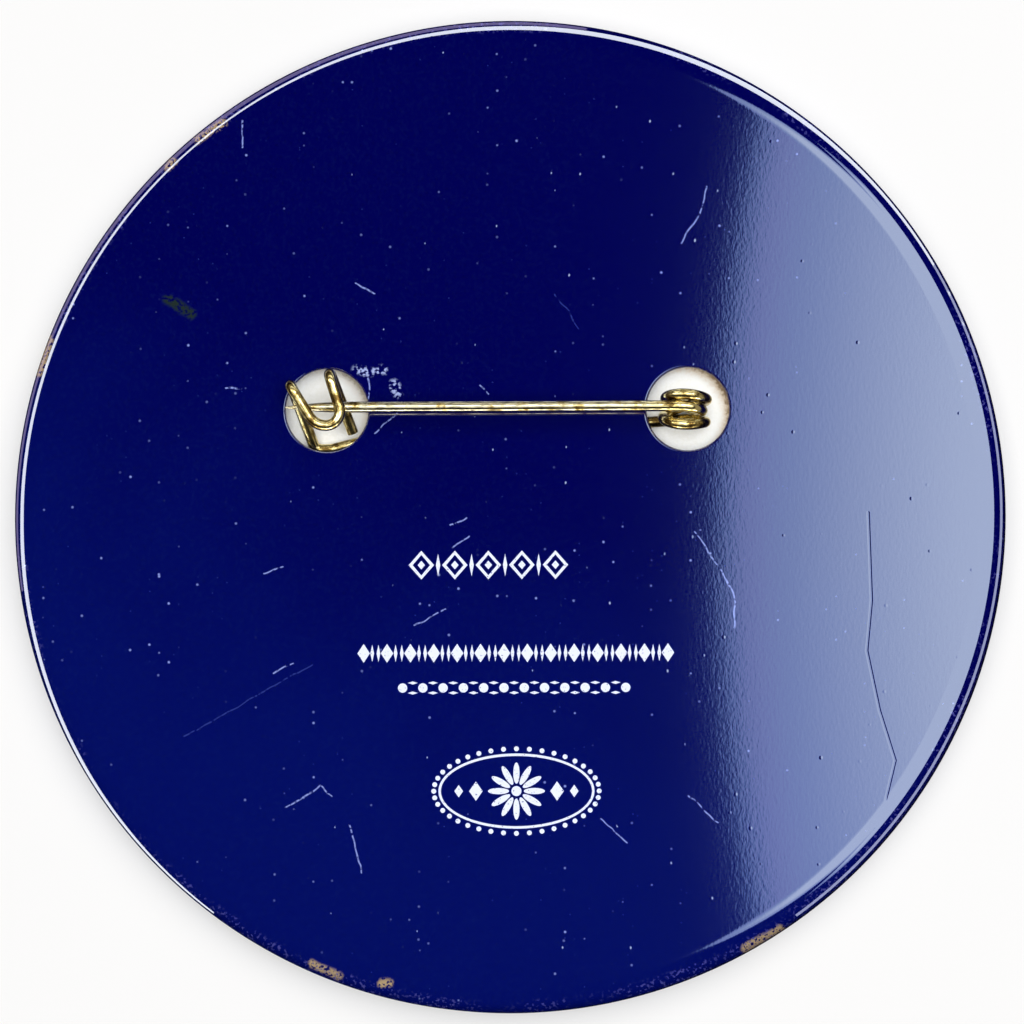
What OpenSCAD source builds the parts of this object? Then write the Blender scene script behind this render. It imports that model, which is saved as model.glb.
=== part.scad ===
// Round pin-back badge, lying on its front with the back facing up.
// The shell's axis is Z, and z = 0 is the plane of the front lip.

/* [Badge] */
// Outside diameter of the badge
badge_d = 63.5; // [44:0.5:90]

/* [Back shell] */
// Thickness of the tinplate
tin_t = 0.28; // [0.2:0.01:0.4]
// Radius of the rounded edge between the back and the side wall
shoulder_r = 0.8; // [0.4:0.05:1.1]
// How far the outer part of the back falls towards the rounded edge
dish_h = 0.06; // [0.02:0.01:0.15]
// Width of the outer part of the back that falls
dish_w = 0.7; // [0.4:0.1:2]
// Radius of the rim where it curls to the front
curl_r = 0.6; // [0.4:0.05:0.9]
// Width of the flat lip that holds the front
lip_w = 1.6; // [1:0.1:4]

/* [Wire holes] */
// Diameter of the two holes in the back
hole_d = 5.3; // [4.4:0.05:7]
// Distance between the centres of the two holes
hole_spacing = 23.14; // [16:0.1:30]
// Height of the holes above the middle of the badge
hole_rise = 6.78; // [0:0.1:10]

/* [Front stack] */
// Thickness of the ribbed lens sheet, ribs included
lens_t = 0.6; // [0.4:0.05:1.2]
// Distance between the ribs of the lens sheet
rib_pitch = 0.7; // [0.5:0.05:1.5]
// Depth of the ribs
rib_depth = 0.08; // [0.04:0.01:0.15]
// Thickness of the printed picture
picture_t = 0.1; // [0.05:0.01:0.3]
// Thickness of the backing card
card_t = 0.75; // [0.4:0.05:1.5]
// Gap between the discs and the curled rim
disc_gap = 0.05; // [0.02:0.01:0.2]

/* [Pin wire] */
// Diameter of the spring wire
wire_d = 0.71; // [0.55:0.01:0.9]
// Mean radius of the coil
coil_r = 1.31; // [1.1:0.01:1.6]
// Gap between neighbouring turns of the coil
coil_gap = 0.03; // [0.02:0.01:0.1]
// Gap between the card and the leg inside the shell
card_gap = 0.08; // [0.04:0.01:0.3]
// Gap between the leg and the back of the shell
leg_gap = 0.2; // [0.1:0.01:0.5]
// Length of the tapered point
point_l = 4.05; // [2:0.1:6]
// Diameter at the very tip
tip_d = 0.12; // [0.05:0.01:0.3]
// How far the tip reaches past the middle of the catch hole
tip_reach = 2.47; // [2:0.01:4]

/* [Catch] */
// Gap between the closed arm and the catch wire above it
catch_gap = 0.05; // [0.02:0.01:0.2]
// Height of the two folds of the catch, between wire centres
fold_h = 1.4; // [1.3:0.05:2]
// Radius of the folds, to the wire's centre
fold_r = 0.65; // [0.5:0.01:0.7]

/* [Hidden] */
$fn = 96;
arc_steps = 8;
wire_sides = 16;

shell_r = badge_d / 2;
hole_r = hole_d / 2;
disc_r = shell_r - curl_r - disc_gap;
lens_z = tin_t;
picture_z = lens_z + lens_t;
card_z = picture_z + picture_t;
card_top = card_z + card_t;

// The leg runs between the card and the back, and the coil stands on it.
leg_z = card_top + card_gap + wire_d / 2;
back_z = leg_z + wire_d / 2 + leg_gap + tin_t;

// One turn of the coil is laid beside the next in units of the wire and its gap.
wire_unit = wire_d + coil_gap;
// Sideways place of the wire at each quarter turn, from the arm round to the leg, in wire units
quarter_side = [0, -0.35, 0.15, 0.66, 1.01, 0.62, 0.2, -0.89, -1.6, -1.32, -1.01];
// How far the wire runs outside the mean radius at each quarter turn, in wire units
quarter_out = [0, -0.2, -1.12, -0.26, -0.05, 0.18, 0.04, 0, 0, 0.08, 0.16];
turn_steps = 9;
quarters = len(quarter_side) - 1;

coil_x = hole_spacing / 2 - 0.2;
coil_z = leg_z + coil_r + quarter_out[quarters] * wire_unit;
arm_y = hole_rise + 0.1;
arm_z = coil_z + coil_r;
// Where the coil ends and the arm and the leg begin
coil_end_x = coil_x - coil_r - wire_d / 2 - 0.235;
tip_x = -hole_spacing / 2 - tip_reach;

// The catch's corners, seen from the back, as shares of the hole's radius from the hole's middle
catch_tail = [0.62, -0.54];
catch_right_fold = [0.14, 0.84];
catch_right_foot = [0.54, -0.415];
catch_left_foot = [-0.185, -0.415];
catch_left_fold = [-0.81, 0.57];
leg_corners = [[-0.305, -0.945], [0.1, -0.925], [0.74, -0.77]];
catch_top_z = arm_z + wire_d + catch_gap;
catch_low_z = catch_top_z - fold_h;
catch_tail_z = back_z - 0.3;
foot_r = [0.34 * hole_r, 0.45 * hole_r];
leg_bend_r = 0.6;

function in_catch_hole(share, z) = [-hole_spacing / 2 + share[0] * hole_r, hole_rise + share[1] * hole_r, z];

// The leg's straight stretch runs from the last corner to the bottom of the coil.
leg_from = in_catch_hole(leg_corners[2], leg_z);
leg_to = [coil_x, arm_y + quarter_side[quarters] * wire_unit, leg_z];
leg_slope = (leg_to[1] - leg_from[1]) / (leg_to[0] - leg_from[0]);
leg_start = on_leg(leg_from[0] + 0.6);
leg_end = on_leg(coil_end_x);

function on_leg(x) = [x, leg_from[1] + leg_slope * (x - leg_from[0]), leg_z];

// Points on an arc about c, in degrees
function arc(c, r, from, to) = [for (i = [0:arc_steps])
    let (a = from + (to - from) * i / arc_steps) [c[0] + r * cos(a), c[1] + r * sin(a)]];

// A smooth curve through the values of a list, at place t
function through(v, t) =
    let (i = min(floor(t), len(v) - 2), f = t - i,
         a = v[max(i - 1, 0)], b = v[i], c = v[i + 1], d = v[min(i + 2, len(v) - 1)])
    b + f * ((c - a) + f * ((2 * a - 5 * b + 4 * c - d) + f * (3 * b - a - 3 * c + d))) / 2;

function unit(v) = v / norm(v);

// One corner of a bent wire, rounded to radius r
function bend(a, b, c, r) = r == 0 ? [b] :
    let (u = unit(a - b), v = unit(c - b),
         half = acos(u * v) / 2,
         middle = b + unit(u + v) * r / sin(half),
         across = unit(u - v), inwards = -unit(u + v),
         steps = max(2, ceil((180 - 2 * half) / 12)))
    [for (i = [0:steps]) let (t = (90 - half) * (1 - 2 * i / steps))
        middle + r * (across * sin(t) + inwards * cos(t))];

// A wire's centre line: its corners, each with its bend radius
function bent_wire(p, r) = concat([p[0]],
    [for (i = [1:len(p) - 2]) each bend(p[i - 1], p[i], p[i + 1], r[i])], [p[len(p) - 1]]);

function heading(p, i) = unit(p[min(i + 1, len(p) - 1)] - p[max(i - 1, 0)]);

// A direction square to the wire at each point, carried along without twisting
function sides_of(p, n, i = 0) = i == len(p) ? [] :
    let (t = heading(p, i), m = unit(n - (n * t) * t)) concat([m], sides_of(p, m, i + 1));

// A round wire of diameter d along the points p
module wire(p, d, side) {
    n = sides_of(p, side);
    k = wire_sides;
    points = [for (i = [0:len(p) - 1]) let (t = heading(p, i), m = cross(t, n[i]))
        for (j = [0:k - 1]) p[i] + d / 2 * (n[i] * cos(360 * j / k) + m * sin(360 * j / k))];
    skin = [for (i = [0:len(p) - 2], j = [0:k - 1])
        let (a = i * k + j, b = i * k + (j + 1) % k) [a, a + k, b + k, b]];
    ends = [[for (j = [0:k - 1]) j], [for (j = [k - 1:-1:0]) (len(p) - 1) * k + j]];
    polyhedron(points, concat(skin, ends));
}

// The back's outer part falls along a curve, drawn between these two radii at depth t below the back.
function dish(t, outwards) = [for (i = [0:arc_steps])
    let (f = (outwards ? i : arc_steps - i) / arc_steps)
        [shell_r - shoulder_r - dish_w * (1 - f), back_z - t - dish_h * f * f]];

// Half of the shell's section, from the middle of the back out, round the rim and back inside
shoulder_c = [shell_r - shoulder_r, back_z - dish_h - shoulder_r];
curl_c = [shell_r - curl_r, curl_r];
shell_section = concat(
    [[0, back_z]], dish(0, true), arc(shoulder_c, shoulder_r, 80, 0),
    arc(curl_c, curl_r, 0, -90),
    [[shell_r - lip_w, 0], [shell_r - lip_w, tin_t]],
    arc(curl_c, curl_r - tin_t, -90, 0), arc(shoulder_c, shoulder_r - tin_t, 0, 80),
    dish(tin_t, false), [[0, back_z - tin_t]]);

// One pressing: back with two wire holes, rounded edge, side wall and curled front lip
module back_shell() {
    color("midnightblue")
    difference() {
        rotate_extrude($fn = 180) polygon(shell_section);
        for (side = [-1, 1])
            translate([side * hole_spacing / 2, hole_rise, back_z - 2 * tin_t])
                cylinder(h = 3 * tin_t, d = hole_d);
    }
}

// Clear disc with fine parallel ribs on its front
module lens_sheet() {
    rib_count = ceil(disc_r / rib_pitch);
    color([0.85, 0.9, 0.92, 0.6])
    intersection() {
        translate([0, 0, lens_z]) cylinder(h = lens_t, r = disc_r);
        rotate([90, 0, 0])
            linear_extrude(height = badge_d, center = true)
                polygon(concat(
                    [for (i = [-rib_count:rib_count], t = [-0.5, -0.25, 0.25])
                        [(i + t) * rib_pitch, lens_z + (t == -0.5 ? rib_depth : 0)]],
                    [[(rib_count + 0.5) * rib_pitch, lens_z + lens_t],
                     [-(rib_count + 0.5) * rib_pitch, lens_z + lens_t]]));
    }
}

// Thin printed disc behind the lens sheet
module picture_sheet() {
    color("khaki") translate([0, 0, picture_z]) cylinder(h = picture_t, r = disc_r);
}

// Card disc that fills the shell and shows through both holes
module backing_card() {
    color("ivory") translate([0, 0, card_z]) cylinder(h = card_t, r = disc_r);
}

// Straight arm from the coil to the catch, with its tapered point
module pin_arm() {
    shank = coil_end_x - tip_x - point_l;
    color("goldenrod")
    translate([coil_end_x, arm_y, arm_z])
    rotate([0, -90, 0]) {
        cylinder(h = shank, d = wire_d);
        translate([0, 0, shank]) cylinder(h = point_l, d1 = wire_d, d2 = tip_d);
    }
}

// Two and a half turns of wire standing in the right hole
module spring_coil() {
    turns = [for (i = [0:quarters * turn_steps]) let (t = i / turn_steps)
        let (r = coil_r + through(quarter_out, t) * wire_unit)
        [coil_x + r * sin(90 * t), arm_y + through(quarter_side, t) * wire_unit, coil_z + r * cos(90 * t)]];
    color("goldenrod")
    wire(concat([[coil_end_x, arm_y, arm_z], [coil_x - coil_r / 2, arm_y, arm_z]], turns,
                [on_leg(coil_x - coil_r / 2), leg_end]), wire_d, [0, 1, 0]);
}

// Straight leg inside the shell, from the catch to the coil
module fixed_leg() {
    color("darkgoldenrod")
    translate(leg_start)
    rotate([0, 90, atan(leg_slope)])
        cylinder(h = norm(leg_end - leg_start), d = wire_d);
}

// Folded wire catch that comes up through the left hole and over the arm
module catch_hook() {
    route = [
        in_catch_hole(catch_tail, catch_tail_z),
        in_catch_hole(catch_right_fold, catch_low_z),
        in_catch_hole(catch_right_fold, catch_top_z),
        in_catch_hole(catch_right_foot, catch_top_z),
        in_catch_hole(catch_left_foot, catch_top_z),
        in_catch_hole(catch_left_fold, catch_top_z),
        in_catch_hole(catch_left_fold, catch_low_z),
        in_catch_hole(leg_corners[0], leg_z),
        in_catch_hole(leg_corners[1], leg_z),
        leg_from,
        leg_start];
    radii = [0, fold_r, fold_r, foot_r[0], foot_r[1], fold_r, fold_r, leg_bend_r, leg_bend_r, leg_bend_r, 0];
    color("goldenrod") wire(bent_wire(route, radii), wire_d, [1, 0, 0]);
}

back_shell();
lens_sheet();
picture_sheet();
backing_card();
pin_arm();
spring_coil();
fixed_leg();
catch_hook();
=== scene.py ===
"""Round pin-back badge, lying on its front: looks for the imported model."""
import math
from itertools import pairwise

import bmesh
import bpy
from mathutils import Matrix, Vector


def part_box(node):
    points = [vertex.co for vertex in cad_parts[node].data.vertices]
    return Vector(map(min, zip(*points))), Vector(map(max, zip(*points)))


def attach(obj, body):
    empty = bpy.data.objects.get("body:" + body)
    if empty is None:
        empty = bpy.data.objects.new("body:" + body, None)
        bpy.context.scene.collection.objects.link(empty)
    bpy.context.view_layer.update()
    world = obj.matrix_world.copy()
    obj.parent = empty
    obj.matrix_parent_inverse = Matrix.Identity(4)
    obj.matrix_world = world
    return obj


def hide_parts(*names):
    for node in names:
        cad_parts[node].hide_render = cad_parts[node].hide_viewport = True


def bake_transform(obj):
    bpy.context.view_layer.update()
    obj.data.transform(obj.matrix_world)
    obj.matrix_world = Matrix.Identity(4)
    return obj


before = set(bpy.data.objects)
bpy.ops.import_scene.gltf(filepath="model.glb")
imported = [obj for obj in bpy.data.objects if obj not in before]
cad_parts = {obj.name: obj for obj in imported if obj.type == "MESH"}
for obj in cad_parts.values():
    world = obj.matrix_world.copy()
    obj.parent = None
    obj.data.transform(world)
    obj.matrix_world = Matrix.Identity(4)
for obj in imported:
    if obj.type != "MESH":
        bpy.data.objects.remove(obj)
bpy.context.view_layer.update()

MM = 0.001
UP = Vector((0, 0, 1))

# Sizes in millimetres, the same as the model's
TIN = 0.28
SHOULDER_R = 0.8
DISH_H = 0.06
DISH_W = 0.7
CURL_R = 0.6
LIP_W = 1.6
HOLE_R = 2.65
HOLE_X = 11.57
HOLE_Y = 6.78
WIRE_D = 0.71
WIRE_UNIT = WIRE_D + 0.03
COIL_R = 1.31
POINT_L = 4.05
TIP_D = 0.12
RIB_PITCH = 0.7
RIB_DEPTH = 0.08
MERGE_GAP = 0.0005

shell_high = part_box("back_shell")[1]
SHELL_R = shell_high.x / MM
BACK_Z = shell_high.z / MM
leg_low, leg_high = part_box("fixed_leg")
LEG_Z = (leg_low.z + leg_high.z) / 2 / MM
arm_low, arm_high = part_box("pin_arm")
ARM_Z = (arm_low.z + arm_high.z) / 2 / MM
ARM_Y = (arm_low.y + arm_high.y) / 2 / MM
COIL_END_X = arm_high.x / MM
TIP_X = arm_low.x / MM
lens_low, lens_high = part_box("lens_sheet")


# ---------------------------------------------------------------- mesh helpers

def finished(bm, name, body, slot, *nodes, smooth_angle=40):
    """Turns a bmesh in millimetres into a piece of the object that rides on a body."""
    bmesh.ops.remove_doubles(bm, verts=bm.verts, dist=MERGE_GAP)
    bmesh.ops.recalc_face_normals(bm, faces=bm.faces)
    bmesh.ops.scale(bm, vec=(MM, MM, MM), verts=bm.verts)
    mesh = bpy.data.meshes.new(name)
    bm.to_mesh(mesh)
    bm.free()
    mesh.shade_smooth()
    mesh.set_sharp_from_angle(angle=math.radians(smooth_angle))
    piece = bpy.data.objects.new(name, mesh)
    bpy.context.scene.collection.objects.link(piece)
    if body:
        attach(piece, body)
    if nodes:
        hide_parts(*nodes)
    return piece


def chain(bm, points):
    """A run of edges through points."""
    verts = [bm.verts.new(p) for p in points]
    return verts, [bm.edges.new(pair) for pair in pairwise(verts)]


def spun(bm, points, centre, steps):
    """Turns a section, given as (radius, height), into a full ring about an upright axis."""
    x, y = centre
    verts, edges = chain(bm, [(x + r, y, z) for r, z in points])
    bmesh.ops.spin(bm, geom=verts + edges, cent=(x, y, 0), axis=UP, dvec=(0, 0, 0),
                   angle=math.tau, steps=steps, use_merge=True)


def arc(centre, r, start, end, steps):
    """Points on an arc, in degrees."""
    for i in range(steps + 1):
        a = math.radians(start + (end - start) * i / steps)
        yield centre[0] + r * math.cos(a), centre[1] + r * math.sin(a)


# ---------------------------------------------------------------- back shell

RIM_STEPS = 256
HOLE_STEPS = 72
PLATE_R = SHELL_R - SHOULDER_R - DISH_W
HOLE_LAND = 0.3
HOLE_EDGE_R = 0.13
LIP_EDGE = 0.1           # the lip's sheared edge, broken at the front
LIP_BURR = 0.05          # and behind
# Narrow flat rings beside the rounded edges, so that their shading stays off the plate
PLATE_FLAT = 0.1
HOLE_FLAT = 0.02


def dish(depth):
    """The outer part of the back, falling gently to the rounded edge."""
    steps = 8
    for i in range(steps + 1):
        f = i / steps
        yield PLATE_R + DISH_W * f, BACK_Z - depth - DISH_H * f * f


def plate_face(bm, z):
    """A flat face at height z, inside the rim's ring and outside the two hole rings."""
    edges = [e for e in bm.edges if all(abs(v.co.z - z) < 1e-5 for v in e.verts)
             and len(e.link_faces) == 1]
    bmesh.ops.triangle_fill(bm, use_beauty=True, edges=edges, normal=UP)


def make_shell():
    """Pressed pan: a spun rim and lip, two rounded hole edges, and a flat plate between them on each side."""
    bm = bmesh.new()
    shoulder = (SHELL_R - SHOULDER_R, BACK_Z - DISH_H - SHOULDER_R)
    curl = (SHELL_R - CURL_R, CURL_R)
    lip_r = SHELL_R - LIP_W
    spun(bm, [(PLATE_R - PLATE_FLAT, BACK_Z), *dish(0),
              *arc(shoulder, SHOULDER_R, 80, 0, 20), *arc(curl, CURL_R, 0, -90, 12),
              (lip_r + LIP_EDGE, 0), (lip_r, LIP_EDGE),
              (lip_r, TIN - LIP_BURR), (lip_r + LIP_BURR, TIN),
              *arc(curl, CURL_R - TIN, -90, 0, 8), *arc(shoulder, SHOULDER_R - TIN, 0, 80, 12),
              *reversed(list(dish(TIN))), (PLATE_R - PLATE_FLAT, BACK_Z - TIN)], (0, 0), RIM_STEPS)
    edge_r = HOLE_R + HOLE_EDGE_R
    for x in (-HOLE_X, HOLE_X):
        spun(bm, [(HOLE_R + HOLE_LAND, BACK_Z), (edge_r + HOLE_FLAT, BACK_Z),
                  *arc((edge_r, BACK_Z - HOLE_EDGE_R), HOLE_EDGE_R, 90, 180, 8),
                  (HOLE_R, BACK_Z - TIN), (HOLE_R + HOLE_LAND, BACK_Z - TIN)],
             (x, HOLE_Y), HOLE_STEPS)
    bmesh.ops.remove_doubles(bm, verts=bm.verts, dist=MERGE_GAP)
    for z in (BACK_Z, BACK_Z - TIN):
        plate_face(bm, z)
    return finished(bm, "enamelled_shell", "badge", "enamelled_tinplate", "back_shell",
                    smooth_angle=30)


# ---------------------------------------------------------------- wire

def rounded(corners, radii):
    """A wire's centre line: its corners, each rounded to its bend radius."""
    points = [Vector(corners[0])]
    for a, b, c, r in zip(corners, corners[1:], corners[2:], radii):
        a, b, c = Vector(a), Vector(b), Vector(c)
        u, v = (a - b).normalized(), (c - b).normalized()
        half = u.angle(v) / 2
        middle = b + (u + v).normalized() * r / math.sin(half)
        across, inwards = (u - v).normalized(), -(u + v).normalized()
        turn = math.pi / 2 - half
        steps = max(3, math.ceil(math.degrees(turn) / 4))
        for i in range(steps + 1):
            t = turn * (1 - 2 * i / steps)
            points.append(middle + r * (across * math.sin(t) + inwards * math.cos(t)))
    return [*points, Vector(corners[-1])]


def through(values, t):
    """A smooth curve through a list of values, at place t."""
    i = min(int(t), len(values) - 2)
    f = t - i
    a, b, c = values[max(i - 1, 0)], values[i], values[i + 1]
    d = values[min(i + 2, len(values) - 1)]
    return b + f * ((c - a) + f * ((2 * a - 5 * b + 4 * c - d) + f * (3 * b - a - 3 * c + d))) / 2


WIRE_SIDES = 28
# One wire makes the arm, the coil, the leg and the catch, so its drawn lines run through them all.
wire_end = {"run": 0.0, "side": Vector((0, 1, 0))}


def make_wire(name, points, body, node, radii=None):
    """Sweeps a ring along points. Each point of the skin knows how far along and round the wire it is."""
    bm = bmesh.new()
    place = bm.verts.layers.float_vector.new("wire_place")
    side, run = wire_end["side"], wire_end["run"]
    radii = radii or [WIRE_D / 2] * len(points)
    ring = bmesh.ops.create_circle(bm, segments=WIRE_SIDES, radius=1)["verts"]
    flat = [v.co.copy() for v in ring]
    for i, point in enumerate(points):
        ahead = (points[min(i + 1, len(points) - 1)] - points[max(i - 1, 0)]).normalized()
        side = (side - side.dot(ahead) * ahead).normalized()
        other = ahead.cross(side)
        if i:
            run += (point - points[i - 1]).length
            edges = list({e for v in ring for e in v.link_edges
                          if all(w in ring_set for w in e.verts)})
            grown = bmesh.ops.extrude_edge_only(bm, edges=edges)["geom"]
            new = {v for v in grown if isinstance(v, bmesh.types.BMVert)}
            ring = [next(e.other_vert(v) for e in v.link_edges if e.other_vert(v) in new)
                    for v in ring]
        ring_set = set(ring)
        for v, f in zip(ring, flat):
            v.co = point + radii[i] * (f.x * side + f.y * other)
            v[place] = (run, f.x * radii[i], f.y * radii[i])
    bmesh.ops.holes_fill(bm, edges=[e for e in bm.edges if len(e.link_faces) == 1], sides=0)
    wire_end.update(run=run, side=side)
    return finished(bm, name, body, "brass_plated_wire", node, smooth_angle=50)


def spaced(a, b, step):
    """Points from a to b, about a step apart."""
    n = max(1, round((b - a).length / step))
    return [a.lerp(b, i / n) for i in range(n + 1)]


# At each quarter turn of the coil: how far the wire lies sideways, and how far outside the mean radius, both
# in pitches of touching turns
COIL_SIDE = [0, -0.35, 0.15, 0.66, 1.01, 0.62, 0.2, -0.89, -1.6, -1.32, -1.01]
COIL_OUT = [0, -0.2, -1.12, -0.26, -0.05, 0.18, 0.04, 0, 0, 0.08, 0.16]
COIL_X = HOLE_X - 0.2    # the coil stands a little to the left in its hole
COIL_Z = LEG_Z + COIL_R + COIL_OUT[-1] * WIRE_UNIT
CATCH_GAP = 0.05
CATCH_RISE = 1.4
CATCH_Z = ARM_Z + WIRE_D + CATCH_GAP
CATCH_LOW_Z = CATCH_Z - CATCH_RISE


def in_catch_hole(x, y, z):
    """A place over the left hole, in shares of its radius from its middle."""
    return Vector((-HOLE_X + x * HOLE_R, HOLE_Y + y * HOLE_R, z))


def make_wires():
    """The spring wire's four stretches, from the point back to the catch's cut end."""
    leg_from = in_catch_hole(0.74, -0.77, LEG_Z)
    leg_to = Vector((COIL_X, ARM_Y + COIL_SIDE[-1] * WIRE_UNIT, LEG_Z))

    def on_leg(x):
        return leg_from.lerp(leg_to, (x - leg_from.x) / (leg_to.x - leg_from.x))

    tip, end = Vector((TIP_X, ARM_Y, ARM_Z)), Vector((COIL_END_X, ARM_Y, ARM_Z))
    points, radii = [], []
    steps = 24
    for i in range(steps + 1):
        f = i / steps
        points.append(tip + Vector((POINT_L * f, 0, 0)))
        radii.append(TIP_D / 2 + (WIRE_D - TIP_D) / 2 * (1 - (1 - f) ** 2))
    shank = spaced(points[-1], end, 0.8)[1:]
    pieces = [make_wire("pin_with_ground_point", points + shank, "arm", "pin_arm",
                        radii + [WIRE_D / 2] * len(shank))]

    steps = 20               # in each quarter turn
    quarters = len(COIL_SIDE) - 1
    turns = []
    for i in range(quarters * steps + 1):
        t = i / steps
        r = COIL_R + through(COIL_OUT, t) * WIRE_UNIT
        a = math.radians(90 * t)
        turns.append(Vector((COIL_X + r * math.sin(a), ARM_Y + through(COIL_SIDE, t) * WIRE_UNIT,
                             COIL_Z + r * math.cos(a))))
    run_in = spaced(end, Vector((COIL_X - COIL_R / 2, ARM_Y, ARM_Z)), 0.3)
    run_out = spaced(on_leg(COIL_X - COIL_R / 2), on_leg(COIL_END_X), 0.3)
    coil = make_wire("spring_coil_turns", run_in + turns + run_out, None, "spring_coil")
    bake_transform(coil)
    pieces.append(coil)

    leg_start = on_leg(leg_from.x + 0.6)
    pieces.append(make_wire("leg_inside_shell", spaced(on_leg(COIL_END_X), leg_start, 1), "badge",
                            "fixed_leg"))

    route = [leg_start, leg_from,
             in_catch_hole(0.1, -0.925, LEG_Z),
             in_catch_hole(-0.305, -0.945, LEG_Z),
             in_catch_hole(-0.81, 0.57, CATCH_LOW_Z),
             in_catch_hole(-0.81, 0.57, CATCH_Z),
             in_catch_hole(-0.185, -0.415, CATCH_Z),
             in_catch_hole(0.54, -0.415, CATCH_Z),
             in_catch_hole(0.14, 0.84, CATCH_Z),
             in_catch_hole(0.14, 0.84, CATCH_LOW_Z),
             in_catch_hole(0.62, -0.54, BACK_Z - 0.3)]
    bends = [0.6, 0.6, 0.6, 0.65, 0.65, 0.45 * HOLE_R, 0.34 * HOLE_R, 0.65, 0.65]
    pieces.append(make_wire("folded_catch", rounded(route, bends), "badge", "catch_hook"))
    return pieces


# ---------------------------------------------------------------- lens sheet

def make_lens():
    """Clear disc whose front is a row of rounded ribs."""
    r, low, high = lens_high.x / MM, lens_low.z / MM, lens_high.z / MM
    bm = bmesh.new()
    bmesh.ops.create_circle(bm, cap_ends=True, segments=RIM_STEPS, radius=r,
                            matrix=Matrix.Translation((0, 0, low)))
    cuts = 4                 # in each rib
    count = math.ceil(r / RIB_PITCH) * cuts
    for i in range(-count, count + 1):
        bmesh.ops.bisect_plane(bm, geom=bm.verts[:] + bm.edges[:] + bm.faces[:], dist=1e-5,
                               plane_co=(RIB_PITCH * i / cuts, 0, 0), plane_no=(1, 0, 0))
    skin = bm.faces[:]
    grown = bmesh.ops.extrude_face_region(bm, geom=skin)["geom"]
    top = {g for g in grown if isinstance(g, bmesh.types.BMVert)}
    for v in bm.verts:
        if v in top:
            v.co.z = high
        else:
            f = (v.co.x / RIB_PITCH) % 1 * 2 - 1
            v.co.z = low + RIB_DEPTH * f * f
    bmesh.ops.delete(bm, geom=[f for f in bm.faces if all(v in top for v in f.verts)],
                     context="FACES_KEEP_BOUNDARY")
    rim = [e for e in bm.edges if len(e.link_faces) == 1]
    bmesh.ops.holes_fill(bm, edges=rim, sides=0)
    return finished(bm, "ribbed_lens", "badge", "clear_ribbed_plastic", "lens_sheet")


# ---------------------------------------------------------------- printed ornament

INK_T = 0.012


def at(x, y, sx=1.0, sy=1.0, turn=0.0):
    """A place on the ink's top face, with a stretch and a turn in degrees."""
    return (Matrix.Translation((x, y, BACK_Z + INK_T)) @ Matrix.Rotation(math.radians(turn), 4, "Z")
            @ Matrix.Diagonal((sx, sy, 1, 1)))


def blot(bm, sides, where):
    """A filled shape, one millimetre in radius before where stretches and turns it."""
    bmesh.ops.create_circle(bm, cap_ends=True, segments=sides, radius=1, matrix=where)


def band(bm, rx, ry, width, where, sides=96):
    """A closed line round an ellipse, or round a lozenge where it has four sides."""
    verts = bmesh.ops.create_circle(bm, segments=sides, radius=1,
                                    matrix=where @ Matrix.Diagonal((rx, ry, 1, 1)))["verts"]
    edges = list({e for v in verts for e in v.link_edges})
    grown = bmesh.ops.extrude_edge_only(bm, edges=edges)["geom"]
    inner = [v for v in grown if isinstance(v, bmesh.types.BMVert)]
    bmesh.ops.transform(bm, verts=inner, space=where.inverted(),
                        matrix=Matrix.Diagonal((1 - width / rx, 1 - width / ry, 1, 1)))


def make_ornament():
    """Plain bands of lozenges, bars and dots, and an oval rosette, in white ink."""
    bm = bmesh.new()
    # Upper band: open lozenges with upright bars between them
    count, first, pitch, y = 5, -5.5, 2.15, -3.15
    for i in range(count):
        x = first + pitch * i
        band(bm, 0.82, 0.92, 0.26, at(x, y), sides=4)
        blot(bm, 4, at(x, y, 0.24, 0.28))
        if i < count - 1:
            blot(bm, 4, at(x + pitch / 2, y, 0.14, 0.72))
    # Middle band: filled lozenges with two bars between them
    count, first, pitch, y = 14, -9.2, 1.5, -8.78
    for i in range(count):
        x = first + pitch * i
        blot(bm, 4, at(x, y, 0.4, 0.6))
        if i < count - 1:
            for dx in (-0.2, 0.2):
                blot(bm, 4, at(x + pitch / 2 + dx, y, 0.12, 0.55))
    # Lower band: dots with two dashes between them
    count, first, pitch, y = 12, -6.7, 1.3, -11.0
    for i in range(count):
        x = first + pitch * i
        blot(bm, 20, at(x, y, 0.3, 0.3))
        if i < count - 1:
            for dy in (-0.32, 0.32):
                blot(bm, 4, at(x + pitch / 2, y + dy, 0.32, 0.1))
    # Rosette of twelve petals in an oval, with forty beads outside it
    x, y = 0.6, -17.6
    oval = (5.0, 2.4)
    beads = (5.3, 2.7)
    petals_r = 1.15
    band(bm, *oval, 0.16, at(x, y))
    for i in range(40):
        a = math.tau * i / 40
        blot(bm, 12, at(x + beads[0] * math.cos(a), y + beads[1] * math.sin(a), 0.16, 0.16))
    for i in range(12):
        a = math.tau * i / 12
        blot(bm, 20, at(x + petals_r * math.cos(a), y + petals_r * math.sin(a), 0.68, 0.2,
                        math.degrees(a)))
    blot(bm, 24, at(x, y, 0.32, 0.32))
    for side in (-1, 1):
        for dx, size in ((2.6, 0.62), (3.7, 0.4)):
            blot(bm, 4, at(x + side * dx, y, size * 0.7, size))
    bmesh.ops.recalc_face_normals(bm, faces=bm.faces)
    for f in bm.faces:
        if f.normal.z < 0:
            f.normal_flip()
    grown = bmesh.ops.extrude_face_region(bm, geom=bm.faces[:])["geom"]
    bmesh.ops.translate(bm, vec=(0, 0, -INK_T),
                        verts=[g for g in grown if isinstance(g, bmesh.types.BMVert)])
    return finished(bm, "white_ink_ornament", "badge", "enamelled_tinplate")


# ---------------------------------------------------------------- materials

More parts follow.
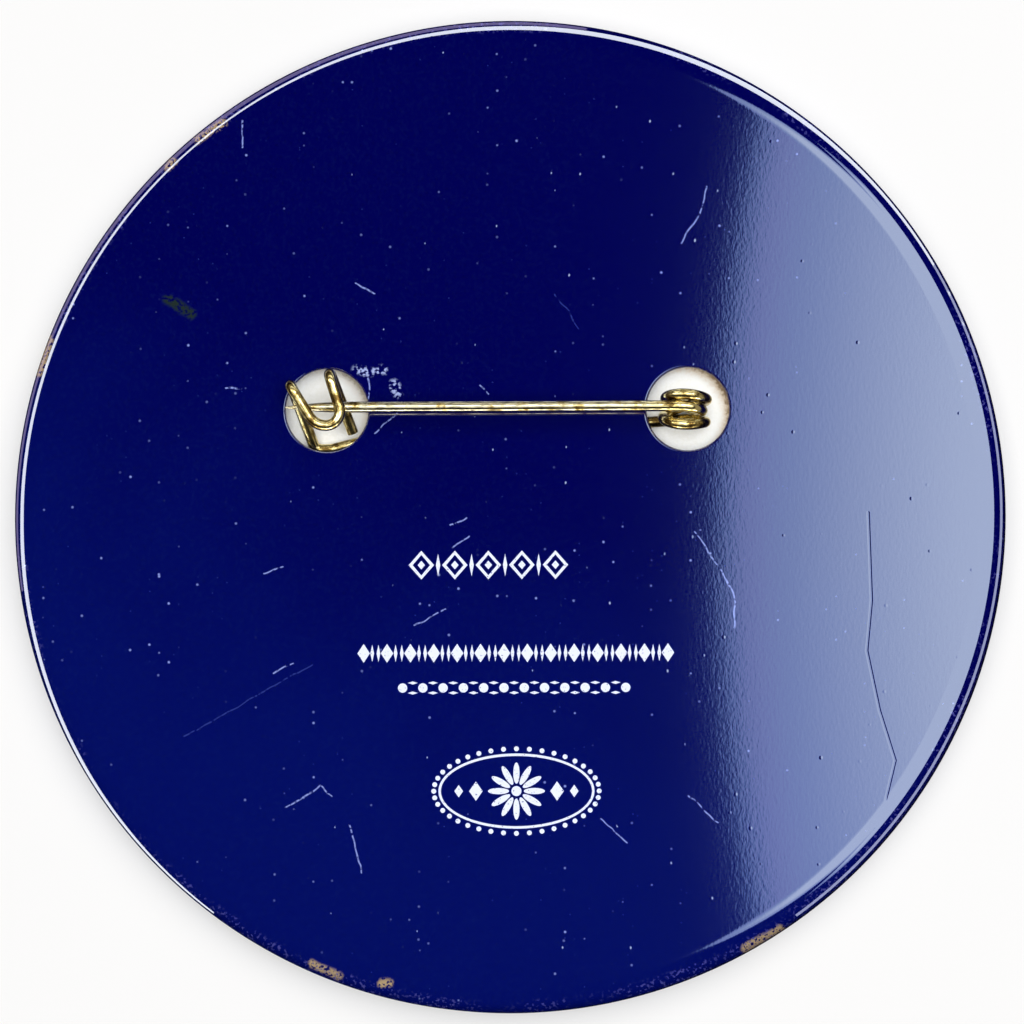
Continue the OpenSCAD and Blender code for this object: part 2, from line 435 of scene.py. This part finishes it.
def linear(hex_colour):
    """An sRGB hex colour as linear values."""
    values = [int(hex_colour[i:i + 2], 16) / 255 for i in (1, 3, 5)]
    return (*(c / 12.92 if c <= 0.04045 else ((c + 0.055) / 1.055) ** 2.4 for c in values), 1)


def add(tree, kind, out, settings=None, **inputs):
    """Adds a node and gives back one of its outputs. Settings are its own properties. Inputs are values
    or other nodes' outputs, by the socket's name, or by its number after an i."""
    made = tree.nodes.new("ShaderNode" + kind)
    for key, value in (settings or {}).items():
        setattr(made, key, value)
    for key, value in inputs.items():
        socket = made.inputs[int(key[1:]) if key[1:].isdigit() else key.replace("_", " ")]
        if isinstance(value, bpy.types.NodeSocket):
            tree.links.new(value, socket)
        else:
            socket.default_value = value
    return made.outputs[out]


SMOOTH = {"interpolation_type": "SMOOTHSTEP"}
COLOUR = {"data_type": "RGBA"}
PLUS, MINUS, TIMES, LESSER = ({"operation": name} for name in ("ADD", "SUBTRACT", "MULTIPLY", "MINIMUM"))
TIMES_PLUS = {"operation": "MULTIPLY_ADD"}
IN_MM = (1 / MM, 1 / MM, 1 / MM)


def material(name, **shader):
    """A new material: its tree and its principled shader."""
    made = bpy.data.materials.new(name)
    made.use_nodes = True
    tree = made.node_tree
    principled = tree.nodes["Principled BSDF"]
    for key, value in shader.items():
        principled.inputs[key.replace("_", " ")].default_value = value
    return made, tree, principled


def near_lines(tree, where, lines, width):
    """1 on the lines and 0 beyond width from them. A line is a row of points in millimetres, from above."""
    nearest = None
    for line in lines:
        for start, end in pairwise(line):
            start, step = Vector((*start, 0)), Vector((*end, 0)) - Vector((*start, 0))
            away = add(tree, "VectorMath", "Vector", MINUS, i0=where, i1=start)
            part = add(tree, "VectorMath", "Value", {"operation": "DOT_PRODUCT"}, i0=away,
                       i1=step / step.length_squared)
            part = add(tree, "Math", "Value", {"operation": "MULTIPLY", "use_clamp": True}, i0=part, i1=1.0)
            foot = add(tree, "VectorMath", "Vector", {"operation": "SCALE"}, i0=step, Scale=part)
            gap = add(tree, "VectorMath", "Value", {"operation": "DISTANCE"}, i0=away, i1=foot)
            nearest = gap if nearest is None else add(tree, "Math", "Value", LESSER, i0=nearest,
                                                          i1=gap)
    return add(tree, "MapRange", "Result", SMOOTH, Value=nearest, From_Min=width, From_Max=width * 0.3)


# Wear on the back, in millimetres from the badge's middle
SCRATCHES = (
    ((-8.5, 5.3), (-7.1, 6.5)), ((-9.7, 14.9), (-8.5, 14.2)), ((-18.1, 8.2), (-17.0, 8.2)),
    ((-17.0, 25.4), (-17.0, 23.7)), ((12.8, 21.0), (12.4, 19.2), (11.2, 17.4)),
    ((12.0, -1.1), (13.1, -2.6), (14.1, -4.2), (14.6, -5.6), (14.5, -7.2)), ((-15.0, -10.0), (-13.7, -9.4)),
    ((-6.0, -7.0), (-3.9, -6.0)), ((-3.6, -2.1), (-2.4, -1.3)), ((-3.6, -0.6), (-2.6, -0.1)),
    ((-15.6, -3.7), (-14.3, -3.2)), ((-14.3, -18.7), (-12.0, -17.2), (-11.2, -17.9)),
    ((-10.1, -19.7), (-9.3, -22.8)), ((6.0, -19.4), (7.7, -20.9)), ((11.7, -17.9), (13.5, -19.7)),
    ((-8.9, 8.8), (-8.9, 7.6)), ((-1.7, 8.4), (-1.2, 7.8)))
FAINT_SCRATCHES = (((-20.8, -14.1), (-16.5, -11.7), (-12.5, -9.5)), ((3.1, 14.2), (4.6, 11.9)))
SCUFFS = (((-9.7, 9.4), (-8.8, 9.2)), ((-8.5, 9.3), (-7.9, 9.4)), ((-7.3, 8.5), (-7.0, 7.9)))
HAIR = (((23.1, 0.1), (23.3, -5.5), (23.0, -8.7), (23.8, -12.5), (24.8, -15.7), (24.2, -18.2)),)
RIM_CHIPS = (((-12.5, -28.6), (-10.8, -29.4)), ((15.2, -27.6), (17.4, -26.4)), ((-30.1, 9.3), (-29.5, 11.4)),
             ((-21.9, 22.4), (-21.6, 22.8)), ((-19.9, 24.2), (-18.3, 25.3)), ((-8.1, -29.8), (-7.6, -29.8)))
DULL_SPOT = (((-21.8, 13.9), (-20.3, 13.0)),)


def enamel():
    """Litho-printed tinplate: navy ink under clear roller-coated varnish, a dark mirror with a fine grain."""
    made, tree, shader = material("navy_enamelled_tinplate", Roughness=0.4, Specular_IOR_Level=0.0,
                                  Coat_Weight=1.0, Coat_Roughness=0.03, Coat_IOR=2.3)
    where = add(tree, "Mapping", "Vector", Vector=add(tree, "TexCoord", "Object"), Scale=IN_MM)
    fine = add(tree, "TexNoise", "Fac", Vector=where, Scale=1 / 0.22, Detail=2.0)
    medium = add(tree, "TexNoise", "Fac", Vector=where, Scale=1 / 5, Detail=3.0)
    # The ink is a little thinner towards one side, and in patches a centimetre or two across
    side = add(tree, "VectorMath", "Value", {"operation": "DOT_PRODUCT"}, i0=where, i1=(-0.45, -0.9, 0))
    patch = add(tree, "TexNoise", "Fac", Vector=where, Scale=1 / 16, Detail=2.0)
    side = add(tree, "Math", "Value", TIMES_PLUS, i0=patch, i1=24.0, i2=side)
    thin = add(tree, "MapRange", "Result", SMOOTH, Value=side, From_Min=6.0, From_Max=34.0)
    colour = add(tree, "Mix", 2, COLOUR, i0=thin, i6=linear("#00004b"), i7=linear("#020b5a"))
    dusty = add(tree, "MapRange", "Result", SMOOTH, Value=fine, From_Min=0.45, From_Max=0.75, To_Max=0.05)
    colour = add(tree, "Mix", 2, COLOUR, i0=dusty, i6=colour, i7=linear("#243a74"))
    # Pale specks, 0.05 to 0.2 mm, thicker in some places: partly grit that has gone through the varnish,
    # partly painted glints of light off tiny pits
    crowd = add(tree, "MapRange", "Result", SMOOTH, Value=medium, From_Min=0.35, From_Max=0.65, To_Min=-0.07,
                To_Max=0.1)
    for size, least, tone in ((0.62, 0.86, "#7f8dcc"), (0.31, 0.9, "#28367e")):
        speck_cells = add(tree, "TexVoronoi", "Distance", Vector=where, Scale=1 / size)
        chance = add(tree, "SeparateColor", "Red", Color=speck_cells.node.outputs["Color"])
        chance = add(tree, "Math", "Value", PLUS, i0=chance, i1=crowd)
        speck_and_glint = add(tree, "MapRange", "Result", SMOOTH, Value=speck_cells, From_Min=0.18, From_Max=0.06)
        chance = add(tree, "MapRange", "Result", SMOOTH, Value=chance, From_Min=least, From_Max=1.05)
        speck_and_glint = add(tree, "Math", "Value", TIMES, i0=speck_and_glint, i1=chance)
        # Mixes in the specks: partly real grit, partly painted glints
        colour = add(tree, "Mix", 2, COLOUR, i0=speck_and_glint, i6=colour, i7=linear(tone))
    # Lines are a little wavy, and broken where fine noise is low
    wave = add(tree, "TexNoise", "Color", Vector=where, Scale=1 / 1.1, Detail=1.0)
    wave = add(tree, "VectorMath", "Vector", TIMES_PLUS, i0=wave, i1=(0.4, 0.4, 0), i2=(-0.2, -0.2, 0))
    wave = add(tree, "VectorMath", "Vector", PLUS, i0=where, i1=wave)
    wave = add(tree, "VectorMath", "Vector", TIMES, i0=wave, i1=(1, 1, 0))
    # Scratches, rubs and chips: how wide they are, where they break up, and what shows through
    for lines, width, low, high, tone in (
            (SCRATCHES, 0.065, 0.34, 0.5, "#8593d0"), (FAINT_SCRATCHES, 0.055, 0.36, 0.5, "#29357c"),
            (SCUFFS, 0.42, 0.5, 0.6, "#9fabd8"), (DULL_SPOT, 0.5, 0.38, 0.5, "#1e2a27"),
            (RIM_CHIPS, 0.4, 0.4, 0.5, "#a8906c")):
        mask = add(tree, "MapRange", "Result", SMOOTH, Value=fine, From_Min=low, From_Max=high)
        mask = add(tree, "Math", "Value", TIMES, i0=near_lines(tree, wave, lines, width), i1=mask)
        colour = add(tree, "Mix", 2, COLOUR, i0=mask, i6=colour, i7=linear(tone))
    # The rounded edge has rubbed pale in specks, from 0.9 mm inside the rim outwards
    out = add(tree, "VectorMath", "Value", {"operation": "LENGTH"}, i0=wave)
    edge = add(tree, "MapRange", "Result", SMOOTH, Value=out, From_Min=SHELL_R - 0.9,
               From_Max=SHELL_R - 0.5)
    rubbed = add(tree, "MapRange", "Result", SMOOTH, Value=fine, From_Min=0.54, From_Max=0.66)
    edge = add(tree, "Math", "Value", TIMES, i0=edge, i1=rubbed)
    places = add(tree, "MapRange", "Result", SMOOTH, Value=medium, From_Min=0.42, From_Max=0.6)
    edge = add(tree, "Math", "Value", TIMES, i0=edge, i1=places)
    colour = add(tree, "Mix", 2, COLOUR, i0=edge, i6=colour, i7=linear("#44448a"))
    tree.links.new(colour, shader.inputs["Base Color"])
    # Rolling lines along Y, about 0.2 mm wide and 0.4 mm long, pits of 0.15 mm, and a long hair under the
    # varnish
    stretched = add(tree, "Mapping", "Vector", Vector=where, Scale=(1, 0.45, 1))
    grain = add(tree, "TexNoise", "Fac", Vector=stretched, Scale=1 / 0.17, Detail=1.0)
    pit = add(tree, "TexVoronoi", "Distance", Vector=where, Scale=1 / 1.1)
    chance = add(tree, "SeparateColor", "Green", Color=pit.node.outputs["Color"])
    chance = add(tree, "MapRange", "Result", SMOOTH, Value=chance, From_Min=0.6, From_Max=0.95)
    pit = add(tree, "MapRange", "Result", SMOOTH, Value=pit, From_Min=0.13, From_Max=0.0)
    pit = add(tree, "Math", "Value", TIMES, i0=pit, i1=chance)
    flat = add(tree, "VectorMath", "Vector", TIMES, i0=where, i1=(1, 1, 0))
    height = add(tree, "Math", "Value", TIMES_PLUS, i0=grain, i1=0.065, i2=pit)
    hair = near_lines(tree, flat, HAIR, 0.12)
    height = add(tree, "Math", "Value", TIMES_PLUS, i0=hair, i1=-0.35, i2=height)
    bump = add(tree, "Bump", "Normal", Strength=1.0, Distance=4e-6, Height=height)
    for socket in ("Normal", "Coat Normal"):
        tree.links.new(bump, shader.inputs[socket])
    return made


def ink():
    """White printing ink: a matt film with pinholes."""
    made, tree, shader = material("white_printing_ink", Roughness=0.45, IOR=1.5)
    where = add(tree, "Mapping", "Vector", Vector=add(tree, "TexCoord", "Object"), Scale=IN_MM)
    hole = add(tree, "TexNoise", "Fac", Vector=where, Scale=1 / 0.12, Detail=2.0)
    hole = add(tree, "MapRange", "Result", SMOOTH, Value=hole, From_Min=0.36, From_Max=0.3)
    colour = add(tree, "Mix", 2, COLOUR, i0=hole, i6=linear("#d6dae6"), i7=linear("#20286e"))
    tree.links.new(colour, shader.inputs["Base Color"])
    return made


def brass():
    """Brass-plated drawn steel wire: pale yellow metal with drawn lines and olive-brown tarnish."""
    made, tree, shader = material("brass_plated_drawn_wire", Metallic=1.0)
    place = add(tree, "Attribute", "Vector", {"attribute_name": "wire_place"})
    where = add(tree, "Mapping", "Vector", Vector=add(tree, "TexCoord", "Object"), Scale=IN_MM)
    # Tarnish in patches a millimetre or two long, and fine drawn lines
    patch = add(tree, "TexNoise", "Fac", Vector=where, Scale=1 / 1.0, Detail=4.0, Roughness=0.65)
    drawn = add(tree, "Mapping", "Vector", Vector=place, Scale=(0.12, 1, 1))
    drawn = add(tree, "TexNoise", "Fac", Vector=drawn, Scale=1 / 0.09, Detail=3.0)
    # The plating is worn pale on the long arm, and is yellower and more tarnished round the bends
    run = add(tree, "SeparateXYZ", "X", Vector=place)
    bends = add(tree, "MapRange", "Result", SMOOTH, Value=run, From_Min=21.0, From_Max=25.0)
    colour = add(tree, "Mix", 2, COLOUR, i0=bends, i6=linear("#cfc6a4"), i7=linear("#ecdc9e"))
    tarnish = add(tree, "Math", "Value", TIMES_PLUS, i0=bends, i1=0.07, i2=patch)
    for low, high, most, tone in ((0.5, 0.62, 0.85, "#ad9350"), (0.58, 0.68, 0.9, "#523a14")):
        brown = add(tree, "MapRange", "Result", SMOOTH, Value=tarnish, From_Min=low, From_Max=high,
                    To_Max=most)
        colour = add(tree, "Mix", 2, COLOUR, i0=brown, i6=colour, i7=linear(tone))
    line = add(tree, "MapRange", "Result", SMOOTH, Value=drawn, From_Min=0.54, From_Max=0.68, To_Max=0.7)
    colour = add(tree, "Mix", 2, COLOUR, i0=line, i6=colour, i7=linear("#4c4024"))
    tree.links.new(colour, shader.inputs["Base Color"])
    rough = add(tree, "MapRange", "Result", Value=patch, From_Min=0.35, From_Max=0.7, To_Min=0.12, To_Max=0.3)
    tree.links.new(rough, shader.inputs["Roughness"])
    bump = add(tree, "Bump", "Normal", Strength=1.0, Distance=8e-6, Height=drawn)
    tree.links.new(bump, shader.inputs["Normal"])
    return made


def clear_plastic():
    """Pressed clear polystyrene: smooth, with a faint haze."""
    made, tree, shader = material("clear_pressed_polystyrene", IOR=1.59, Transmission_Weight=1.0,
                                  Base_Color=linear("#f2f6f6"))
    where = add(tree, "Mapping", "Vector", Vector=add(tree, "TexCoord", "Object"), Scale=IN_MM)
    haze = add(tree, "TexNoise", "Fac", Vector=where, Scale=1 / 2, Detail=3.0)
    haze = add(tree, "MapRange", "Result", Value=haze, From_Min=0.3, From_Max=0.7, To_Min=0.03, To_Max=0.1)
    tree.links.new(haze, shader.inputs["Roughness"])
    return made


def picture():
    """Offset print on coated paper: a sunburst and rings, in strips under the ribs."""
    made, tree, shader = material("offset_print_on_paper", Roughness=0.35, IOR=1.5)
    where = add(tree, "Mapping", "Vector", Vector=add(tree, "TexCoord", "Object"), Scale=IN_MM)
    x = add(tree, "SeparateXYZ", "X", Vector=where)
    angle = add(tree, "Math", "Value", {"operation": "ARCTAN2"}, i0=x.node.outputs["Y"], i1=x)
    far = add(tree, "VectorMath", "Value", {"operation": "LENGTH"}, i0=where)
    # Twelve rays, rings 5.2 mm apart, and the strips that the ribs choose between
    pairs = []
    for value, rate, one, other in ((angle, 12.0, "#e8b53a", "#d9572b"), (far, 1.2, "#2f6f8f", "#e9dfc2"),
                                    (x, math.tau / RIB_PITCH, None, None)):
        swing = add(tree, "Math", "Value", TIMES, i0=value, i1=rate)
        swing = add(tree, "Math", "Value", {"operation": "SINE"}, i0=swing)
        swing = add(tree, "MapRange", "Result", SMOOTH, Value=swing, From_Min=-0.1, From_Max=0.1)
        one, other = (linear(one), linear(other)) if one else pairs
        pairs.append(add(tree, "Mix", 2, COLOUR, i0=swing, i6=one, i7=other))
    dots = add(tree, "TexNoise", "Fac", Vector=where, Scale=1 / 0.09, Detail=1.0)
    dots = add(tree, "MapRange", "Result", SMOOTH, Value=dots, From_Min=0.45, From_Max=0.7, To_Max=0.2)
    colour = add(tree, "Mix", 2, COLOUR, i0=dots, i6=pairs[2], i7=linear("#3a3028"))
    tree.links.new(colour, shader.inputs["Base Color"])
    return made


def ivory_card():
    """Uncoated ivory card: soft fibres, and along one side of each hole a brown band, partly rust stain and
    partly painted shade from the hole's edge.
    """
    made, tree, shader = material("uncoated_ivory_card", Roughness=0.9, IOR=1.45)
    where = add(tree, "Mapping", "Vector", Vector=add(tree, "TexCoord", "Object"), Scale=IN_MM)
    fibre = add(tree, "TexNoise", "Fac", Vector=where, Scale=1 / 0.18, Detail=4.0, Roughness=0.65)
    pale = add(tree, "MapRange", "Result", Value=fibre, From_Min=0.3, From_Max=0.7)
    colour = add(tree, "Mix", 2, COLOUR, i0=pale, i6=linear("#f4f2e9"), i7=linear("#fbfaf5"))
    for x, depth in ((-HOLE_X, 0.35), (HOLE_X, 0.75)):
        # How far out from the hole's middle, counted from a point set a little to one side of it
        away = add(tree, "VectorMath", "Vector", MINUS, i0=where, i1=(x - 0.7, HOLE_Y - 0.35, 0))
        away = add(tree, "VectorMath", "Vector", TIMES, i0=away, i1=(1, 1, 0))
        away = add(tree, "VectorMath", "Value", {"operation": "LENGTH"}, i0=away)
        away = add(tree, "Math", "Value", TIMES_PLUS, i0=fibre, i1=0.9, i2=away)
        near = add(tree, "MapRange", "Result", SMOOTH, Value=away, From_Min=4.3, From_Max=4.0)
        # A tan fade, then a darker brown band right under the rim, along the right-hand edge of each hole:
        # partly rust stain, partly painted shade cast by the hole's edge
        for low, high, most, tone in ((2.95, 3.75, depth, "#d9b98c"), (3.5, 3.8, depth, "#7b5a34")):
            stain_and_shade = add(tree, "MapRange", "Result", SMOOTH, Value=away, From_Min=low, From_Max=high,
                        To_Max=most)
            stain_and_shade = add(tree, "Math", "Value", TIMES, i0=stain_and_shade, i1=near)
            colour = add(tree, "Mix", 2, COLOUR, i0=stain_and_shade, i6=colour, i7=linear(tone))
    tree.links.new(colour, shader.inputs["Base Color"])
    bump = add(tree, "Bump", "Normal", Strength=0.6, Distance=1.5e-5, Height=fibre)
    tree.links.new(bump, shader.inputs["Normal"])
    return made


def pale_floor():
    """Matt white sheet, lit a little from below so that shadows on it stay pale."""
    made, tree, shader = material("matt_white_sheet", Roughness=0.9, IOR=1.3, Emission_Strength=0.53,
                                  Emission_Color=(1, 1, 1, 1))
    tone = add(tree, "TexNoise", "Fac", Vector=add(tree, "TexCoord", "Object"), Scale=25.0)
    colour = add(tree, "Mix", 2, COLOUR, i0=tone, i6=linear("#9b9996"), i7=linear("#9d9b98"))
    tree.links.new(colour, shader.inputs["Base Color"])
    return made


# ---------------------------------------------------------------- the object

def dress(piece, finish):
    """Gives a piece, or a carried-over node, its finish in every slot."""
    if not piece.material_slots:
        piece.data.materials.append(finish)
    for slot in piece.material_slots:
        slot.material = finish


wire_finish = brass()
shell = make_shell()
dress(shell, enamel())
wire_pieces = make_wires()
for stretch in wire_pieces:
    dress(stretch, wire_finish)
dress(make_lens(), clear_plastic())
dress(make_ornament(), ink())
dress(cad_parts["picture_sheet"], picture())
dress(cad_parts["backing_card"], ivory_card())


# ---------------------------------------------------------------- studio

def between(values, t):
    """The value at place t in a list, in a straight line from one to the next."""
    i = min(int(t), len(values) - 2)
    return values[i] + (values[i + 1] - values[i]) * (t - i)


CARD_REACH = 0.015
RING_REACH = 1.0


def curved_card(name, middle, turns, tops, feet, reach, radiance, tint, seen_by):
    """A glowing strip bent round the badge, reach away from its rim, for some pieces only. Its top and foot
    are given in degrees down from straight up over the rim, at turns clockwise from its middle."""
    bm = bmesh.new()
    bmesh.ops.create_grid(bm, x_segments=8 * (len(turns) - 1), y_segments=8, size=0.5)
    for v in bm.verts:
        t = (v.co.x + 0.5) * (len(turns) - 1)
        turn = math.radians(middle + between(turns, t))
        down = math.radians(between((between(tops, t), between(feet, t)), v.co.y + 0.5))
        out = Vector((math.sin(turn), math.cos(turn), 0))
        v.co = (shell_high.x + reach * math.sin(down)) * out + (shell_high.z + reach * math.cos(down)) * UP
    mesh = bpy.data.meshes.new(name)
    bm.to_mesh(mesh)
    bm.free()
    glow = material(name + "_glow", Base_Color=(0, 0, 0, 1), Emission_Color=linear(tint),
                    Emission_Strength=radiance)[0]
    mesh.materials.append(glow)
    card = bpy.data.objects.new(name, mesh)
    bpy.context.scene.collection.objects.link(card)
    card.visible_camera = card.visible_diffuse = card.visible_shadow = False
    card.light_linking.receiver_collection = seen_by


def facing(place, target):
    """The turn that points an object's -Z from place to target, with the badge's +Y upwards."""
    back = (Vector(place) - Vector(target)).normalized()
    across = Vector((0, 1, 0)).cross(back).normalized()
    return Matrix((across, back.cross(across), back)).transposed().to_quaternion()


def soft_light(name, place, target, size, radiance, shape="RECTANGLE", seen_by=None):
    """A flat light of even brightness; size is its width and height in metres."""
    data = bpy.data.lights.new(name, "AREA")
    data.shape = shape
    data.size, data.size_y = size
    area = size[0] * size[1] * (math.pi / 4 if shape == "DISK" else 1)
    data.energy = radiance * math.pi * area
    light = bpy.data.objects.new(name, data)
    light.location = place
    light.rotation_mode = "QUATERNION"
    light.rotation_quaternion = facing(place, target)
    light.light_linking.receiver_collection = seen_by
    bpy.context.scene.collection.objects.link(light)
    return light


def gathered(name, pieces):
    """A collection that only says which pieces a light falls on."""
    group = bpy.data.collections.new(name)
    for piece in pieces:
        group.objects.link(piece)
    return group


def make_floor():
    """The white sheet under the badge, 0.02 mm below its lip so that the two don't share a plane."""
    bm = bmesh.new()
    bmesh.ops.create_grid(bm, x_segments=1, y_segments=1, size=3, matrix=Matrix.Translation(-0.02 * MM * UP))
    mesh = bpy.data.meshes.new("sheet_floor")
    bm.to_mesh(mesh)
    bm.free()
    floor = bpy.data.objects.new("sheet_floor", mesh)
    mesh.materials.append(pale_floor())
    bpy.context.scene.collection.objects.link(floor)
    floor.visible_glossy = False


def make_softbox():
    """A round soft box above and to the right, dim teal at its very edge, then purple, then pale blue. The
    back mirrors that edge."""
    softbox = soft_light("overhead_right", (0.237, 0.052, 1.2), (0.237, 0.052, 0), (0.62, 0.62), 1.0, "DISK")
    softbox.data.use_nodes = True
    tree = softbox.data.node_tree
    place = add(tree, "NewGeometry", "Parametric")
    out = add(tree, "VectorMath", "Value", {"operation": "DISTANCE"}, i0=place, i1=(0.5, 0.5, 0))
    tint = (0.5, 1.0, 1.8, 1)
    # Each stage: where it starts and ends, in widths of the disc from its middle, and its colour
    for start, end, inner in ((0.499, 0.496, (0.95, 1.1, 2.1, 1)), (0.494, 0.486, (1.0, 1.35, 2.25, 1)),
                              (0.484, 0.4415, (2.24, 2.66, 3.41, 1))):
        inward = add(tree, "MapRange", "Result", Value=out, From_Min=start, From_Max=end)
        tint = add(tree, "Mix", 2, COLOUR, i0=inward, i6=tint, i7=inner)
    tree.links.new(tint, tree.nodes["Emission"].inputs["Color"])


def make_camera():
    """A long lens 0.9 m above the badge, a little to the right of its middle and below it."""
    data = bpy.data.cameras.new("camera")
    data.sensor_width = 36
    data.lens = 494.5
    data.clip_start, data.clip_end = 0.05, 20
    camera = bpy.data.objects.new("camera", data)
    camera.location = (0.07836, -0.04067, 0.89711)
    camera.rotation_mode = "QUATERNION"
    camera.rotation_quaternion = facing(camera.location, (0.00018, 0.0003, 0.00145))
    bpy.context.scene.collection.objects.link(camera)
    bpy.context.scene.camera = camera


def make_studio():
    scene = bpy.context.scene
    scene.view_settings.view_transform = "Standard"
    world = bpy.data.worlds.new("dim_room")
    world.use_nodes = True
    world.node_tree.nodes["Background"].inputs["Color"].default_value = (0.003, 0.003, 0.004, 1)
    scene.world = world
    make_floor()
    make_softbox()
    # Curved cards close round the badge, which only the varnish mirrors
    shiny = gathered("varnished", [shell])
    curved_card("card_upper_left", 322.5, (-104, -82, -52, 0, 37, 67, 90, 104),
                (100, 78, 25, 24, 25, 53, 86, 96), (122, 122, 62, 42, 68, 112, 122, 122),
                CARD_REACH, 5.2, "#f2f8ff", shiny)
    curved_card("card_low_left", 322.5, (-60, 0, 45), (96, 72, 86), (122, 122, 122),
                CARD_REACH, 1.3, "#c8b8e8", shiny)
    curved_card("card_right", 90, (-32, 0, 30, 55), (90, 86, 80, 76), (122, 120, 114, 108),
                CARD_REACH, 2.9, "#ccd4f6", shiny)
    # Soft light that only matt things see
    key = soft_light("key_upper_right", (0.2, 0.2, 1.3), (0, 0, 0), (1.7, 1.7), 3.7)
    key.visible_glossy = False
    # Lights that fall on the bright wire alone: a dim ring, above it, behind it, and low in front
    wires = gathered("wires", wire_pieces)
    curved_card("ring_for_wire", 0, (-180, 0, 180), (58, 58, 58), (125, 125, 125),
                RING_REACH, 0.3, "#fff4dc", wires)
    for name, place, target, size, radiance in (
            ("fill_for_wire", (0, 0.05, 0.25), (0, 0.05, 0), (0.5, 0.28), 1.15),
            ("shine_for_wire", (0, 0.09, 0.24), (0, 0.09, 0), (0.6, 0.05), 6.0),
            ("back_for_wire", (0, 0.5, 0.26), (0, 0, 0), (0.9, 0.24), 1.1),
            ("low_front_for_wire", (0, -0.5, 0.1), (0, 0, 0.005), (0.8, 0.12), 6.0)):
        soft_light(name, place, target, size, radiance, seen_by=wires)
    make_camera()


make_studio()
